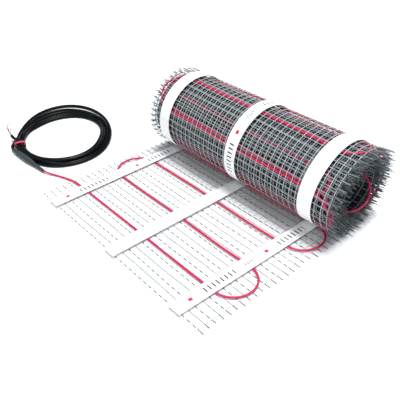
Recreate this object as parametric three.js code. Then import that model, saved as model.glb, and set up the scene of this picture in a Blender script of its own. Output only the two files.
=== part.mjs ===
// An electric underfloor heating mat, partly unrolled. A net of glass yarn lies flat at its free
// end and runs into a loose roll. Strips of tape below and above hold the net, and a thin heating
// cable zigzags between them. A black cold lead, coiled and tied, is spliced to the cable.
// Millimetres, +Z up. X runs across the mat, Y from its free end towards the roll.
import * as THREE from 'three';

// The clearance between pieces that rest on each other.
const GAP = 0.3;

// The mat as laid: its flat stretch, and how far it leans sideways by the time it meets the roll.
const FLAT_LENGTH = 358;
const SIDE_LEAN = 22;

// The net of glass yarn. Every second yarn is a bar here, both along the mat and across it.
const NET_WIDTH = 476;
const YARN_END = 14;
const BAR_SPACING_ALONG = 28.5;
const BAR_COUNT_ALONG = 13;
const BAR_SPACING_ACROSS = 28;
const WARP_OVERHANG = 5;
const YARN_WIDTH = 1.6;
const YARN_HEIGHT = 1;

// The tapes, as places across the mat, and the widths of the marked and the plain kind.
const LEFT_TAPE_INSET = 43;
const RIGHT_TAPE_INSET = 49;
const TAPE_LEFT = -NET_WIDTH / 2 + LEFT_TAPE_INSET;
const TAPE_MIDDLE = 5;
const TAPE_RIGHT = NET_WIDTH / 2 - RIGHT_TAPE_INSET;
const MARKED_WIDTH = 28;
const PLAIN_WIDTH = 30;
const TAPE_THICKNESS = 0.8;
const TAPE_OVERHANG = 6;

// The heating cable and its zigzag. It comes in over the mat's edge, a little towards the free end.
const CABLE_DIAMETER = 4;
const FIRST_RUN = 68.5;
const RUN_STEP = 83.5;
const RUN_COUNT = 10;
const LEFT_TURN_INSET = 49;
const RIGHT_TURN_INSET = 40;
const LEFT_TURN = -NET_WIDTH / 2 + LEFT_TURN_INSET;
const RIGHT_TURN = NET_WIDTH / 2 - RIGHT_TURN_INSET;
const EDGE_CROSSING = 4;
const EDGE_DRIFT = 3;
const BEND_TO_RUN = 20;
const CABLE_SIDES = 6;
const CABLE_STEP = 22;

// The roll.
const ROLL_RADIUS = 87;
const BORE_RADIUS = 42;
const TURN_COUNT = 6;
const TURN_GROOVE = 3;
const ROLL_SIDES = 40;
const WRAP_ANGLE = THREE.MathUtils.degToRad(325);
const WRAP_STEPS = 36;

// The cold lead: its own size, and the two ovals that bound its flat coil.
const LEAD_DIAMETER = 7.5;
const LEAD_SIDES = 10;
const COIL_OUTER = { x: -437, y: 164, long: 156, short: 110, tilt: 155 };
const COIL_INNER = { x: -416, y: 147, long: 93, short: 89, tilt: 0 };
const OUTER_OVAL_POINTS = 36;
const INNER_OVAL_POINTS = 28;
const COIL_LAYERS = 2;

// The tie round the coil, at an angle about the middle of the inner oval.
const TIE_THICKNESS = 1.6;
const TIE_WIDTH = 5;
const TIE_SLACK = 1;
const TIE_OUTER_CORNER = 2.4;
const TIE_INNER_CORNER = 0.8;
const TIE_CORNER_STEPS = 3;
const TIE_ANGLE = THREE.MathUtils.degToRad(246);

// The splice sleeve: distance from its lead end, and radius there.
const SPLICE_START = new THREE.Vector3(-441, 29, 9);
const SPLICE_END = new THREE.Vector3(-317, 38, 5.8);
const SPLICE_OUTLINE = [[0, 5], [22, 6.3], [40, 7.1], [64, 7.1], [88, 4.6], [124, 3.4]];
const SPLICE_SIDES = 12;

// The two free stretches of lead that hang off the coil, point by point, with the steps of each.
const LEAD_TO_SPLICE = [[-488.2, 62.2, 7], [-477, 45, 8], [-461, 31, 9], [-441.9, 29, 9]];
const LEAD_TO_SPLICE_STEPS = 4;
const LEAD_END = [[-498.1, 70.8, 9], [-501, 61, 10.5], [-501, 52, 13.5]];
const LEAD_END_STEPS = 3;

// The free stretch of heating cable, from the sleeve to the mat's edge.
const TAIL_STEPS = 10;
const TAIL = [
  [-316.7, 38, 5.8],
  [-300, 44, 4.2],
  [-283, 52, 3],
  [-264, 59, 3.2],
  [-247, 63.6, 4.2],
  [-NET_WIDTH / 2 - 0.4, FIRST_RUN - 2.5, 4.4],
];

// The stripped conductors, as places from the end of the lead that they stand out of.
const CONDUCTOR_DIAMETER = 1.6;
const CONDUCTOR_SIDES = 8;
const CONDUCTOR_STEPS = 6;
const CONDUCTORS = [
  { name: 'conductor_blue', colour: 0x2a6fb5, points: [[-1.6, -0.7, 0.7], [-6, -1, 10.5], [-13, 2, 24.5]] },
  { name: 'conductor_red', colour: 0xc4204a, points: [[1.6, -0.8, 0.7], [2, -4, 11.5], [0, -6, 26.5]] },
  { name: 'conductor_bare', colour: 0xb9b6b4, points: [[0, -0.4, 3.3], [-1.5, 2, 15.5], [-4, 5, 31.5]] },
];

// Heights above the floor of the layers of the flat mat, from the tape below to the tape above.
const netBase = TAPE_THICKNESS + GAP;
const cableHeight = netBase + YARN_HEIGHT + GAP + CABLE_DIAMETER / 2;
const topTapeBase = cableHeight + CABLE_DIAMETER / 2 + GAP;

// The rolled-up body lies inside the cable's runs, clear of where their chords dip towards it.
const chordDip = CABLE_STEP ** 2 / (8 * ROLL_RADIUS);
const rolledRadius = ROLL_RADIUS - topTapeBase - chordDip;

const GLASS = new THREE.MeshStandardMaterial({ color: 0xe8e8e6, roughness: 0.8, metalness: 0 });
const TAPE = new THREE.MeshStandardMaterial({ color: 0xf6f6f6, roughness: 0.7, metalness: 0 });
const ROLLED = new THREE.MeshStandardMaterial({ color: 0x6d7274, roughness: 0.9, metalness: 0 });
const HEATER = new THREE.MeshStandardMaterial({ color: 0xc2123f, roughness: 0.45, metalness: 0 });
const LEAD = new THREE.MeshStandardMaterial({ color: 0x15181a, roughness: 0.4, metalness: 0 });
const SLEEVE = new THREE.MeshStandardMaterial({ color: 0x3c4444, roughness: 0.6, metalness: 0 });

const object = new THREE.Group();
const mat = new THREE.Group();
const lead = new THREE.Group();
object.add(mat, lead);

function addPiece(group, name, geometry, material) {
  const mesh = new THREE.Mesh(geometry, material);
  mesh.name = name;
  group.add(mesh);
  return mesh;
}

// How far the mat has leant sideways at a distance from its free end.
function leanAt(along) {
  return SIDE_LEAN * Math.min(along, FLAT_LENGTH) / FLAT_LENGTH;
}

// A place on the mat as a point: across it, along it from the free end, and above its underside.
// Past the flat stretch the mat curls up the far side of the roll.
function onMat(across, along, above) {
  const x = across + leanAt(along);
  if (along <= FLAT_LENGTH) return new THREE.Vector3(x, along, above);
  const angle = (along - FLAT_LENGTH) / ROLL_RADIUS;
  const radius = ROLL_RADIUS - above;
  return new THREE.Vector3(
    x,
    FLAT_LENGTH + radius * Math.sin(angle),
    ROLL_RADIUS - radius * Math.cos(angle),
  );
}

// The grid lines on both sides of each yarn, from one outer edge to the other.
function yarnLines(places, outerEdge, innerEdge) {
  const half = YARN_WIDTH / 2;
  return [outerEdge, ...places.flatMap((place) => [place - half, place + half]), innerEdge];
}

// The flat net in one piece: weft bars across the mat, fused with the warp bars that cross them.
// It is laid out in tiles. Every second column is a warp yarn, every second row a weft yarn, and
// a tile outside both is open.
function buildNet() {
  const warpCount = Math.round(NET_WIDTH / BAR_SPACING_ACROSS) + 1;
  const warps = [];
  for (let i = 0; i < warpCount; i += 1) warps.push((i - (warpCount - 1) / 2) * BAR_SPACING_ACROSS);
  const wefts = [];
  for (let i = 0; i < BAR_COUNT_ALONG; i += 1) wefts.push(i * BAR_SPACING_ALONG);
  const side = NET_WIDTH / 2 + YARN_END;
  const xs = yarnLines(warps, -side, side);
  const ys = yarnLines(wefts, -WARP_OVERHANG, wefts.at(-1) + WARP_OVERHANG);
  const low = netBase;
  const high = netBase + YARN_HEIGHT;
  const isYarn = (i, j) => {
    const inside = i >= 0 && j >= 0 && i < xs.length - 1 && j < ys.length - 1;
    return inside && (i % 2 === 1 || j % 2 === 1);
  };
  const corners = [];
  const face = (a, b, c, d) => corners.push(...a, ...b, ...c, ...a, ...c, ...d);
  for (let i = 0; i < xs.length - 1; i += 1) {
    for (let j = 0; j < ys.length - 1; j += 1) {
      if (!isYarn(i, j)) continue;
      const [x0, x1, y0, y1] = [xs[i], xs[i + 1], ys[j], ys[j + 1]];
      face([x0, y0, high], [x1, y0, high], [x1, y1, high], [x0, y1, high]);
      face([x0, y1, low], [x1, y1, low], [x1, y0, low], [x0, y0, low]);
      if (!isYarn(i - 1, j)) face([x0, y0, low], [x0, y0, high], [x0, y1, high], [x0, y1, low]);
      if (!isYarn(i + 1, j)) face([x1, y1, low], [x1, y1, high], [x1, y0, high], [x1, y0, low]);
      if (!isYarn(i, j - 1)) face([x1, y0, low], [x1, y0, high], [x0, y0, high], [x0, y0, low]);
      if (!isYarn(i, j + 1)) face([x0, y1, low], [x0, y1, high], [x1, y1, high], [x1, y1, low]);
    }
  }
  const net = new THREE.BufferGeometry();
  net.setAttribute('position', new THREE.Float32BufferAttribute(corners, 3));
  addPiece(mat, 'net_flat', leanWithMat(net), GLASS);
}

// Moves each point of a piece sideways with the mat. What stands above the flat layers is on the
// roll, where the lean no longer grows.
function leanWithMat(geometry) {
  const flatTop = topTapeBase + TAPE_THICKNESS;
  const position = geometry.attributes.position;
  for (let i = 0; i < position.count; i += 1) {
    const onFlat = position.getZ(i) <= flatTop;
    const lean = onFlat ? leanAt(position.getY(i)) : SIDE_LEAN;
    position.setX(i, position.getX(i) + lean);
  }
  return geometry;
}

// The tape below the net, flat and then round the outside of the roll.
function undersideTape(width) {
  const inner = [];
  const outer = [];
  for (let i = 0; i <= WRAP_STEPS; i += 1) {
    const along = FLAT_LENGTH + ROLL_RADIUS * WRAP_ANGLE * i / WRAP_STEPS;
    inner.push(onMat(0, along, TAPE_THICKNESS));
    outer.push(onMat(0, along, 0));
  }
  const start = [new THREE.Vector3(0, -TAPE_OVERHANG, 0)];
  const startTop = [new THREE.Vector3(0, -TAPE_OVERHANG, TAPE_THICKNESS)];
  const outline = [...start, ...outer, ...inner.reverse(), ...startTop];
  const profile = new THREE.Shape(outline.map((point) => new THREE.Vector2(point.y, point.z)));
  const strip = new THREE.ExtrudeGeometry(profile, { depth: width, bevelEnabled: false });
  strip.translate(0, 0, -width / 2);
  strip.rotateY(Math.PI / 2);
  strip.rotateX(Math.PI / 2);
  return leanWithMat(strip);
}

// The tape above the net, which bridges the cable's runs and ends where the roll closes on it.
function topTape(width) {
  const tapeTop = topTapeBase + TAPE_THICKNESS + GAP;
  const nipDrop = ROLL_RADIUS - tapeTop;
  const nip = Math.sqrt(rolledRadius ** 2 - nipDrop ** 2);
  const length = FLAT_LENGTH - nip + TAPE_OVERHANG;
  const strip = new THREE.BoxGeometry(width, length, TAPE_THICKNESS);
  strip.translate(0, length / 2 - TAPE_OVERHANG, topTapeBase + TAPE_THICKNESS / 2);
  return leanWithMat(strip);
}

function buildTapes() {
  const places = { left: TAPE_LEFT, middle: TAPE_MIDDLE, right: TAPE_RIGHT };
  for (const [side, place] of Object.entries(places)) {
    const plainAbove = side === 'middle';
    const above = topTape(plainAbove ? PLAIN_WIDTH : MARKED_WIDTH);
    const below = undersideTape(plainAbove ? MARKED_WIDTH : PLAIN_WIDTH);
    addPiece(mat, `tape_above_${side}`, above, TAPE).position.x = place;
    addPiece(mat, `tape_below_${side}`, below, TAPE).position.x = place;
  }
}

// The rolled-up stretch as one turned body. Its ends are grooved, one ridge for each turn.
function buildRoll() {
  const turnDepth = (rolledRadius - BORE_RADIUS) / TURN_COUNT;
  const halfLength = NET_WIDTH / 2;
  const nearEnd = [];
  const farEnd = [];
  for (let turn = 0; turn < TURN_COUNT; turn += 1) {
    const inside = BORE_RADIUS + turn * turnDepth;
    nearEnd.push(new THREE.Vector2(inside, halfLength - TURN_GROOVE));
    nearEnd.push(new THREE.Vector2(inside + turnDepth / 2, halfLength));
    farEnd.push(new THREE.Vector2(inside, TURN_GROOVE - halfLength));
    farEnd.push(new THREE.Vector2(inside + turnDepth / 2, -halfLength));
  }
  nearEnd.push(new THREE.Vector2(rolledRadius, halfLength - TURN_GROOVE));
  farEnd.push(new THREE.Vector2(rolledRadius, TURN_GROOVE - halfLength));
  const profile = [...farEnd, ...nearEnd.reverse(), farEnd[0].clone()];
  const ring = new THREE.LatheGeometry(profile, ROLL_SIDES);
  ring.rotateZ(-Math.PI / 2);
  const roll = addPiece(mat, 'rolled_mat', ring, ROLLED);
  roll.position.set(SIDE_LEAN, FLAT_LENGTH, ROLL_RADIUS);
}

function roundSection(diameter, sides) {
  const points = [];
  for (let i = 0; i < sides; i += 1) {
    const angle = 2 * Math.PI * i / sides;
    points.push(new THREE.Vector2(Math.cos(angle), Math.sin(angle)).multiplyScalar(diameter / 2));
  }
  return new THREE.Shape(points);
}

function tubeAlong(points, diameter, sides, steps) {
  const extrudePath = new THREE.CatmullRomCurve3(points);
  const section = roundSection(diameter, sides);
  return new THREE.ExtrudeGeometry(section, { steps, extrudePath, bevelEnabled: false });
}

// The heating cable from the mat's edge to where its last run goes on inside the roll.
function buildCable() {
  const route = new THREE.Path();
  const turnRadius = RUN_STEP / 2;
  route.moveTo(-NET_WIDTH / 2 - EDGE_CROSSING, FIRST_RUN - EDGE_DRIFT);
  route.lineTo(LEFT_TURN - BEND_TO_RUN, FIRST_RUN);
  for (let run = 0; run < RUN_COUNT; run += 1) {
    const along = FIRST_RUN + run * RUN_STEP;
    const toRight = run % 2 === 0;
    const turn = toRight ? RIGHT_TURN : LEFT_TURN;
    route.lineTo(turn, along);
    if (run === RUN_COUNT - 1) break;
    route.absarc(turn, along + turnRadius, turnRadius, -Math.PI / 2, Math.PI / 2, !toRight);
  }
  const steps = Math.round(route.getLength() / CABLE_STEP);
  const points = route.getSpacedPoints(steps).map((spot) => onMat(spot.x, spot.y, cableHeight));
  const cable = tubeAlong(points, CABLE_DIAMETER, CABLE_SIDES, steps);
  addPiece(mat, 'heating_cable', cable, HEATER);
}

function toPoints(list) {
  return list.map(([x, y, z]) => new THREE.Vector3(x, y, z));
}

function ovalPoints(oval, count) {
  const tilt = THREE.MathUtils.degToRad(oval.tilt);
  return new THREE.EllipseCurve(oval.x, oval.y, oval.long, oval.short, 0, 2 * Math.PI, false, tilt)
    .getPoints(count)
    .slice(0, count);
}

// The outer shape of the coiled lead, which rests on the lower side of its tie.
function buildCoil() {
  const outline = new THREE.Shape(ovalPoints(COIL_OUTER, OUTER_OVAL_POINTS));
  outline.holes.push(new THREE.Path(ovalPoints(COIL_INNER, INNER_OVAL_POINTS)));
  const height = COIL_LAYERS * LEAD_DIAMETER - TIE_THICKNESS;
  const coil = new THREE.ExtrudeGeometry(outline, { depth: height, bevelEnabled: false });
  coil.translate(0, 0, TIE_THICKNESS + 2 * GAP);
  addPiece(lead, 'cold_lead_coil', coil, LEAD);
}

// How far an oval's rim is from a point inside it, in a direction.
function reachToRim(oval, from, angle) {
  const tilt = THREE.MathUtils.degToRad(oval.tilt);
  const start = from.clone().sub(new THREE.Vector2(oval.x, oval.y));
  start.rotateAround(new THREE.Vector2(), -tilt);
  const aim = new THREE.Vector2(Math.cos(angle - tilt), Math.sin(angle - tilt));
  const scale = new THREE.Vector2(oval.long, oval.short);
  start.divide(scale);
  aim.divide(scale);
  const half = start.dot(aim) / aim.lengthSq();
  return Math.sqrt(half ** 2 + (1 - start.lengthSq()) / aim.lengthSq()) - half;
}

// The tie: a flat band with rounded corners round the coil.
function buildTie() {
  const middle = new THREE.Vector2(COIL_INNER.x, COIL_INNER.y);
  const inside = reachToRim(COIL_INNER, middle, TIE_ANGLE);
  const outside = reachToRim(COIL_OUTER, middle, TIE_ANGLE);
  const halfSpan = (outside - inside) / 2 + TIE_SLACK;
  const reach = (outside + inside) / 2;
  const holeHeight = COIL_LAYERS * LEAD_DIAMETER - TIE_THICKNESS + 2 * GAP;
  const roundedBox = (halfWidth, bottom, top, corner) => {
    const shape = new THREE.Path();
    shape.moveTo(-halfWidth + corner, bottom);
    shape.lineTo(halfWidth - corner, bottom);
    shape.absarc(halfWidth - corner, bottom + corner, corner, -Math.PI / 2, 0);
    shape.absarc(halfWidth - corner, top - corner, corner, 0, Math.PI / 2);
    shape.absarc(-halfWidth + corner, top - corner, corner, Math.PI / 2, Math.PI);
    shape.absarc(-halfWidth + corner, bottom + corner, corner, Math.PI, 1.5 * Math.PI);
    return shape;
  };
  const holeBottom = TIE_THICKNESS + GAP;
  const holeTop = holeBottom + holeHeight;
  const outer = roundedBox(halfSpan + TIE_THICKNESS, GAP, holeTop + TIE_THICKNESS, TIE_OUTER_CORNER);
  const inner = roundedBox(halfSpan, holeBottom, holeTop, TIE_INNER_CORNER);
  const band = new THREE.Shape(outer.getPoints(TIE_CORNER_STEPS));
  band.holes.push(new THREE.Path(inner.getPoints(TIE_CORNER_STEPS)));
  const tie = new THREE.ExtrudeGeometry(band, { depth: TIE_WIDTH, bevelEnabled: false });
  tie.translate(0, 0, -TIE_WIDTH / 2);
  tie.rotateX(Math.PI / 2);
  tie.rotateZ(TIE_ANGLE);
  const place = new THREE.Vector2(Math.cos(TIE_ANGLE), Math.sin(TIE_ANGLE));
  place.multiplyScalar(reach).add(middle);
  addPiece(lead, 'lead_tie', tie, HEATER).position.set(place.x, place.y, 0);
}

// The heat-shrink sleeve over the splice, turned about the line between its two ends.
function buildSplice() {
  const profile = [
    new THREE.Vector2(0, 0),
    ...SPLICE_OUTLINE.map(([along, radius]) => new THREE.Vector2(radius, along)),
    new THREE.Vector2(0, SPLICE_OUTLINE.at(-1)[0]),
  ];
  const sleeve = new THREE.LatheGeometry(profile, SPLICE_SIDES);
  const splice = addPiece(lead, 'splice_sleeve', sleeve, SLEEVE);
  const direction = SPLICE_END.clone().sub(SPLICE_START).normalize();
  splice.position.copy(SPLICE_START);
  splice.quaternion.setFromUnitVectors(new THREE.Vector3(0, 1, 0), direction);
}

function buildLeadEnds() {
  const toSplice = tubeAlong(toPoints(LEAD_TO_SPLICE), LEAD_DIAMETER, LEAD_SIDES, LEAD_TO_SPLICE_STEPS);
  const freeEnd = tubeAlong(toPoints(LEAD_END), LEAD_DIAMETER, LEAD_SIDES, LEAD_END_STEPS);
  const tail = tubeAlong(toPoints(TAIL), CABLE_DIAMETER, LEAD_SIDES, TAIL_STEPS);
  addPiece(lead, 'cold_lead_to_splice', toSplice, LEAD);
  addPiece(lead, 'cold_lead_end', freeEnd, LEAD);
  addPiece(lead, 'heating_cable_tail', tail, HEATER);
  const leadTip = toPoints(LEAD_END).at(-1);
  for (const { name, colour, points } of CONDUCTORS) {
    const line = toPoints(points).map((point) => point.add(leadTip));
    const wire = tubeAlong(line, CONDUCTOR_DIAMETER, CONDUCTOR_SIDES, CONDUCTOR_STEPS);
    const material = new THREE.MeshStandardMaterial({ color: colour, roughness: 0.5, metalness: 0 });
    addPiece(lead, name, wire, material);
  }
}

buildNet();
buildTapes();
buildRoll();
buildCable();
buildCoil();
buildTie();
buildSplice();
buildLeadEnds();

// The origin is under the middle of the mat and its roll; the lead lies beside them.
const extent = new THREE.Box3().setFromObject(mat);
const centre = extent.getCenter(new THREE.Vector3());
for (const group of [mat, lead]) group.position.set(-centre.x, -centre.y, 0);
object.updateMatrixWorld(true);

export default object;
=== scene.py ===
# %% [markdown]
# # A partly unrolled underfloor heating mat
# The real object is an open net of glass yarn with strips of tape on both sides, which hold a thin
# red cable in a zigzag. It comes as a roll. Here its free end lies flat on the floor. A black cold
# lead, coiled and tied, is spliced to the red cable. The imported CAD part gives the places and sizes,
# and the cells below dress it piece by piece.

# %% Load the frame
import math

import bpy
import numpy as np
from mathutils import Matrix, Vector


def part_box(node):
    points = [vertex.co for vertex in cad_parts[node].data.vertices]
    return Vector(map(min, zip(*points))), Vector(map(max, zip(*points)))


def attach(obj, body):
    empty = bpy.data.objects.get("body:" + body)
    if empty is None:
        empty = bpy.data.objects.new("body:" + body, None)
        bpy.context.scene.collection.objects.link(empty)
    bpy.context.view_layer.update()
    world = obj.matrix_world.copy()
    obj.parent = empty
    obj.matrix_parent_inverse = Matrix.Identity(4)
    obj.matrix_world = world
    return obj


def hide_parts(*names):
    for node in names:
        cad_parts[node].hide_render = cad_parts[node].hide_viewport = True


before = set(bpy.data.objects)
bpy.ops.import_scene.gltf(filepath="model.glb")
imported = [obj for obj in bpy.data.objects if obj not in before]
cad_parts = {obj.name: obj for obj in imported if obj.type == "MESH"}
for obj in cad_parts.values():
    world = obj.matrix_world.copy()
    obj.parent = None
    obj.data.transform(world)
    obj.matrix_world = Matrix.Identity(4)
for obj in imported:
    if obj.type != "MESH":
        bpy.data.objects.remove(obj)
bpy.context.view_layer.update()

# %% [markdown]
# ## One set of coordinates for the mat
# A mat is easiest to describe as if it were still flat: how far across it, how far along it from
# the free end, and how far above its underside. A single function then carries such a place to the
# floor or curls it up round the roll. Every yarn, tape and cable below goes through that function,
# so they all stay together when the mat curls. The roll could be modelled by bending finished
# meshes, but then each layer would need its own bend.

# %% Sizes of the mat and where its frame is
ROLL_RADIUS = 87.0
BORE_RADIUS = 42.0
FLAT_LENGTH = 358.0
SIDE_LEAN = 22.0
OUTER_TURN = math.radians(325)
STEP_IN = math.radians(50)
STEP_DEPTH = 5.4
TURN_DEPTH = 3.0
TWIST = math.radians(8) / 360
TWIST_BEGINS = math.radians(60)
ROLL_LEAN = 11.0

low, high = (np.array(corner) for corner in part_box("rolled_mat"))
ORIGIN = np.array([SIDE_LEAN, FLAT_LENGTH, ROLL_RADIUS]) - 1000 * (low + high) / 2
print("the mat's own origin lies at", -ORIGIN.round(2), "mm in the frame")


def to_frame(points):
    """Millimetres from the middle of the mat's free end, turned into the frame's metres."""
    return (np.asarray(points, float) - ORIGIN) / 1000


# %% From a place on the mat to a point in space
def ease(x):
    """A smooth step: 0 below 0, 1 above 1, and 3x squared minus 2x cubed between them."""
    x = np.clip(x, 0, 1)
    return x * x * (3 - 2 * x)


def turn_radius(angle):
    """The radius of the mat's underside after it has turned through an angle: constant for the
    outer turn, then a step inwards under it, then a slow spiral."""
    step = STEP_DEPTH * ease((angle - OUTER_TURN) / STEP_IN)
    spiral = TURN_DEPTH * np.maximum(angle - OUTER_TURN - STEP_IN, 0) / (2 * np.pi)
    return ROLL_RADIUS - step - spiral


def turned(across, along):
    """The angle the mat has turned through: (along - flat length) / roll radius, plus a twist that
    grows across the mat, because the roll was wound a little askew."""
    angle = np.maximum(along - FLAT_LENGTH, 0) / ROLL_RADIUS
    return angle + TWIST * across * ease(angle / TWIST_BEGINS)


def on_mat(across, along, above):
    """Point of the mat in millimetres. Flat: (across + lean, along, above). Past the flat stretch
    the place goes round the roll, from the bottom up the far side, and the top of the roll leans a
    little to the right."""
    angle = turned(across, along)
    lean = SIDE_LEAN * np.clip(along / FLAT_LENGTH, 0, 1) + ROLL_LEAN * (1 - np.cos(angle)) / 2
    radius = turn_radius(angle) - above
    y = np.minimum(along, FLAT_LENGTH) + radius * np.sin(angle)
    z = np.where(along > FLAT_LENGTH, ROLL_RADIUS - radius * np.cos(angle), above)
    return np.stack([across + lean, y, z], -1)


def along_at(degrees):
    """The distance along the mat at which it has turned through so many degrees."""
    return FLAT_LENGTH + ROLL_RADIUS * np.radians(degrees)


print("top of the roll:", on_mat(0.0, along_at(180.0), 0.0).round(1), "mm")

# %% [markdown]
# ## The camera
# The camera was fitted to the edges of the tapes, the rows of yarn ends and the bands of tape on
# the roll, with the width of the mat as the scale. Its place and its turn are numbers in the mat's
# own millimetres, so they can be checked against the CAD.

# %% Camera
CAMERA_PLACE = [619.197, -305.649, 632.498]
CAMERA_TURN = [2.093, 0.906, -0.492]
FOCAL_PIXELS = 504.966
PICTURE_PIXELS = 400


def turn_matrix(vector):
    """Rodrigues' formula: the rotation about a vector by its length."""
    angle = np.linalg.norm(vector)
    x, y, z = np.array(vector) / angle
    cross = np.array([[0, -z, y], [z, 0, -x], [-y, x, 0]])
    return np.eye(3) + math.sin(angle) * cross + (1 - math.cos(angle)) * cross @ cross


def add_camera():
    """A Blender camera looks down its own -Z with +Y up, so two of the fitted axes are flipped."""
    right, down, forward = turn_matrix(CAMERA_TURN)
    matrix = np.eye(4)
    matrix[:3, :3] = np.stack([right, -down, -forward], 1)
    matrix[:3, 3] = to_frame(CAMERA_PLACE)
    data = bpy.data.cameras.new("camera")
    data.angle = 2 * math.atan(PICTURE_PIXELS / 2 / FOCAL_PIXELS)
    camera = bpy.data.objects.new("camera", data)
    bpy.context.scene.collection.objects.link(camera)
    camera.matrix_world = Matrix(matrix.tolist())
    bpy.context.scene.camera = camera
    return camera


camera = add_camera()
print("camera at", [round(x, 3) for x in camera.location], "metres")

# %% [markdown]
# ## Pieces as swept sections
# Yarn, tape, cable and lead are all the same kind of surface: a small closed section carried along
# a line. Two parameters describe it, one along the line and one round the section. The helpers here
# work on whole arrays, many lines at once, and close both ends.

# %% Sections, and the faces of a sweep
def oval_section(width, height, sides):
    """Points of an ellipse, as offsets sideways and upwards."""
    angle = 2 * np.pi * (np.arange(sides) + 0.5) / sides
    return np.stack([width / 2 * np.cos(angle), height / 2 * np.sin(angle)], -1)


def flat_section(width, height):
    """The four corners of a strip of tape."""
    w, h = width / 2, height / 2
    return np.array([[w, -h], [w, h], [-w, h], [-w, -h]])


def sweep_faces(lines, points, sides):
    """Quads between neighbouring rings of every line, and the quads that close both ends."""
    ring = np.arange(sides)
    line = np.arange(lines)[:, None, None] * points
    start = (line + np.arange(points - 1)[None, :, None]) * sides
    a, b = start + ring, start + (ring + 1) % sides
    walls = np.stack([a, b, b + sides, a + sides], -1).reshape(-1, 4)
    i = np.arange(sides // 2 - 1)
    cap = np.stack([i, i + 1, sides - 2 - i, sides - 1 - i], -1)
    first = (line * sides + cap[:, ::-1]).reshape(-1, 4)
    last = (line * sides + (points - 1) * sides + cap).reshape(-1, 4)
    return np.concatenate([walls, first, last])


print("a sweep of 3 rings of 4 sides has", len(sweep_faces(1, 3, 4)), "faces")


# %% Sweeps on the mat and in space
def sweep_on_mat(centres, section):
    """Carries a section along lines given as places on the mat: across, along, above. The section
    turns with the line in the plane of the mat. Returns points, faces and each point's place."""
    centres = np.asarray(centres, float)
    if centres.ndim == 2:
        centres = centres[None]
    lines, points, _ = centres.shape
    travel = np.gradient(centres[..., :2], axis=1)
    travel /= np.linalg.norm(travel, axis=-1, keepdims=True)
    side = np.stack([travel[..., 1], -travel[..., 0]], -1)
    angle = np.maximum(centres[..., 1] - FLAT_LENGTH, 0) / ROLL_RADIUS
    squeeze = np.where(angle > 0, ROLL_RADIUS / (turn_radius(angle) - centres[..., 2]), 1)
    places = np.repeat(centres[:, :, None, :], len(section), 2)
    places[..., 0] += side[..., None, 0] * section[:, 0]
    places[..., 1] += side[..., None, 1] * section[:, 0] * squeeze[..., None]
    places[..., 2] += section[:, 1]
    places = places.reshape(-1, 3)
    faces = sweep_faces(lines, points, len(section))
    return on_mat(*places.T), faces, places[:, :2]


def sweep_in_space(centres, radius, sides):
    """Carries a circle along a line in space. Its frame is turned as little as possible from ring
    to ring, so the tube doesn't twist. Returns points, faces and (angle, distance) of each point."""
    centres = np.asarray(centres, float)
    step = np.gradient(centres, axis=0)
    step /= np.linalg.norm(step, axis=1, keepdims=True)
    side = np.cross(step, [0, 0, 1.0])
    side[np.linalg.norm(side, axis=1) < 1e-3] = [1, 0, 0]
    side /= np.linalg.norm(side, axis=1, keepdims=True)
    up = np.cross(side, step)
    turn = 2 * np.pi * np.arange(sides) / sides
    size = np.broadcast_to(radius, len(centres))[:, None, None]
    ring = side[:, None] * np.cos(turn)[None, :, None] + up[:, None] * np.sin(turn)[None, :, None]
    points = (centres[:, None] + size * ring).reshape(-1, 3)
    distance = np.r_[0, np.cumsum(np.linalg.norm(np.diff(centres, axis=0), axis=1))]
    marks = np.stack(np.meshgrid(distance, turn / (2 * np.pi), indexing="ij"), -1)[..., ::-1]
    return points, sweep_faces(1, len(centres), sides), marks.reshape(-1, 2)


# %% From arrays to pieces
def signed_volume(points, faces):
    """Six times the volume inside quads, from the triple product of each half of each quad."""
    a, b, c, d = (points[faces[:, i]] for i in range(4))
    halves = np.einsum("ij,ij->i", a, np.cross(b, c)) + np.einsum("ij,ij->i", a, np.cross(c, d))
    return halves.sum()


def make_piece(name, slot, material, points, faces, places, smooth=True, tone=None):
    """Puts arrays into a mesh object that rides on the part. places becomes its UV map, tone a
    value per point for the finish. Faces are flipped together if they point inwards."""
    if signed_volume(points - points.mean(0), faces) < 0:
        faces = faces[:, ::-1]
    mesh = bpy.data.meshes.new(name)
    mesh.vertices.add(len(points))
    mesh.vertices.foreach_set("co", to_frame(points).astype(np.float32).ravel())
    mesh.loops.add(faces.size)
    mesh.loops.foreach_set("vertex_index", faces.ravel().astype(np.int32))
    mesh.polygons.add(len(faces))
    mesh.polygons.foreach_set("loop_start", np.arange(0, faces.size, 4, dtype=np.int32))
    mesh.update(calc_edges=True)
    mesh.polygons.foreach_set("use_smooth", np.full(len(faces), smooth))
    uv = mesh.uv_layers.new(name="place")
    uv.data.foreach_set("uv", places[faces.ravel()].astype(np.float32).ravel())
    if tone is not None:
        attribute = mesh.attributes.new("tone", "FLOAT", "POINT")
        attribute.data.foreach_set("value", np.asarray(tone, np.float32))
    mesh.materials.append(material)
    piece = bpy.data.objects.new(name, mesh)
    bpy.context.scene.collection.objects.link(piece)
    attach(piece, "root")
    print(f"{name}: {2 * len(faces)} triangles")
    return piece


def join(*parts):
    """Several sets of points, faces and places as one."""
    shift = np.cumsum([0] + [len(part[0]) for part in parts[:-1]])
    points = np.concatenate([part[0] for part in parts])
    faces = np.concatenate([part[1] + n for part, n in zip(parts, shift)])
    return points, faces, np.concatenate([part[2] for part in parts])


# %% [markdown]
# ## Shader arithmetic
# A finish is easier to read as a formula than as a web of nodes. The two classes below let one
# write 1 - mask or wave * 0.5, and each such step adds its Math node behind the scenes.

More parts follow.
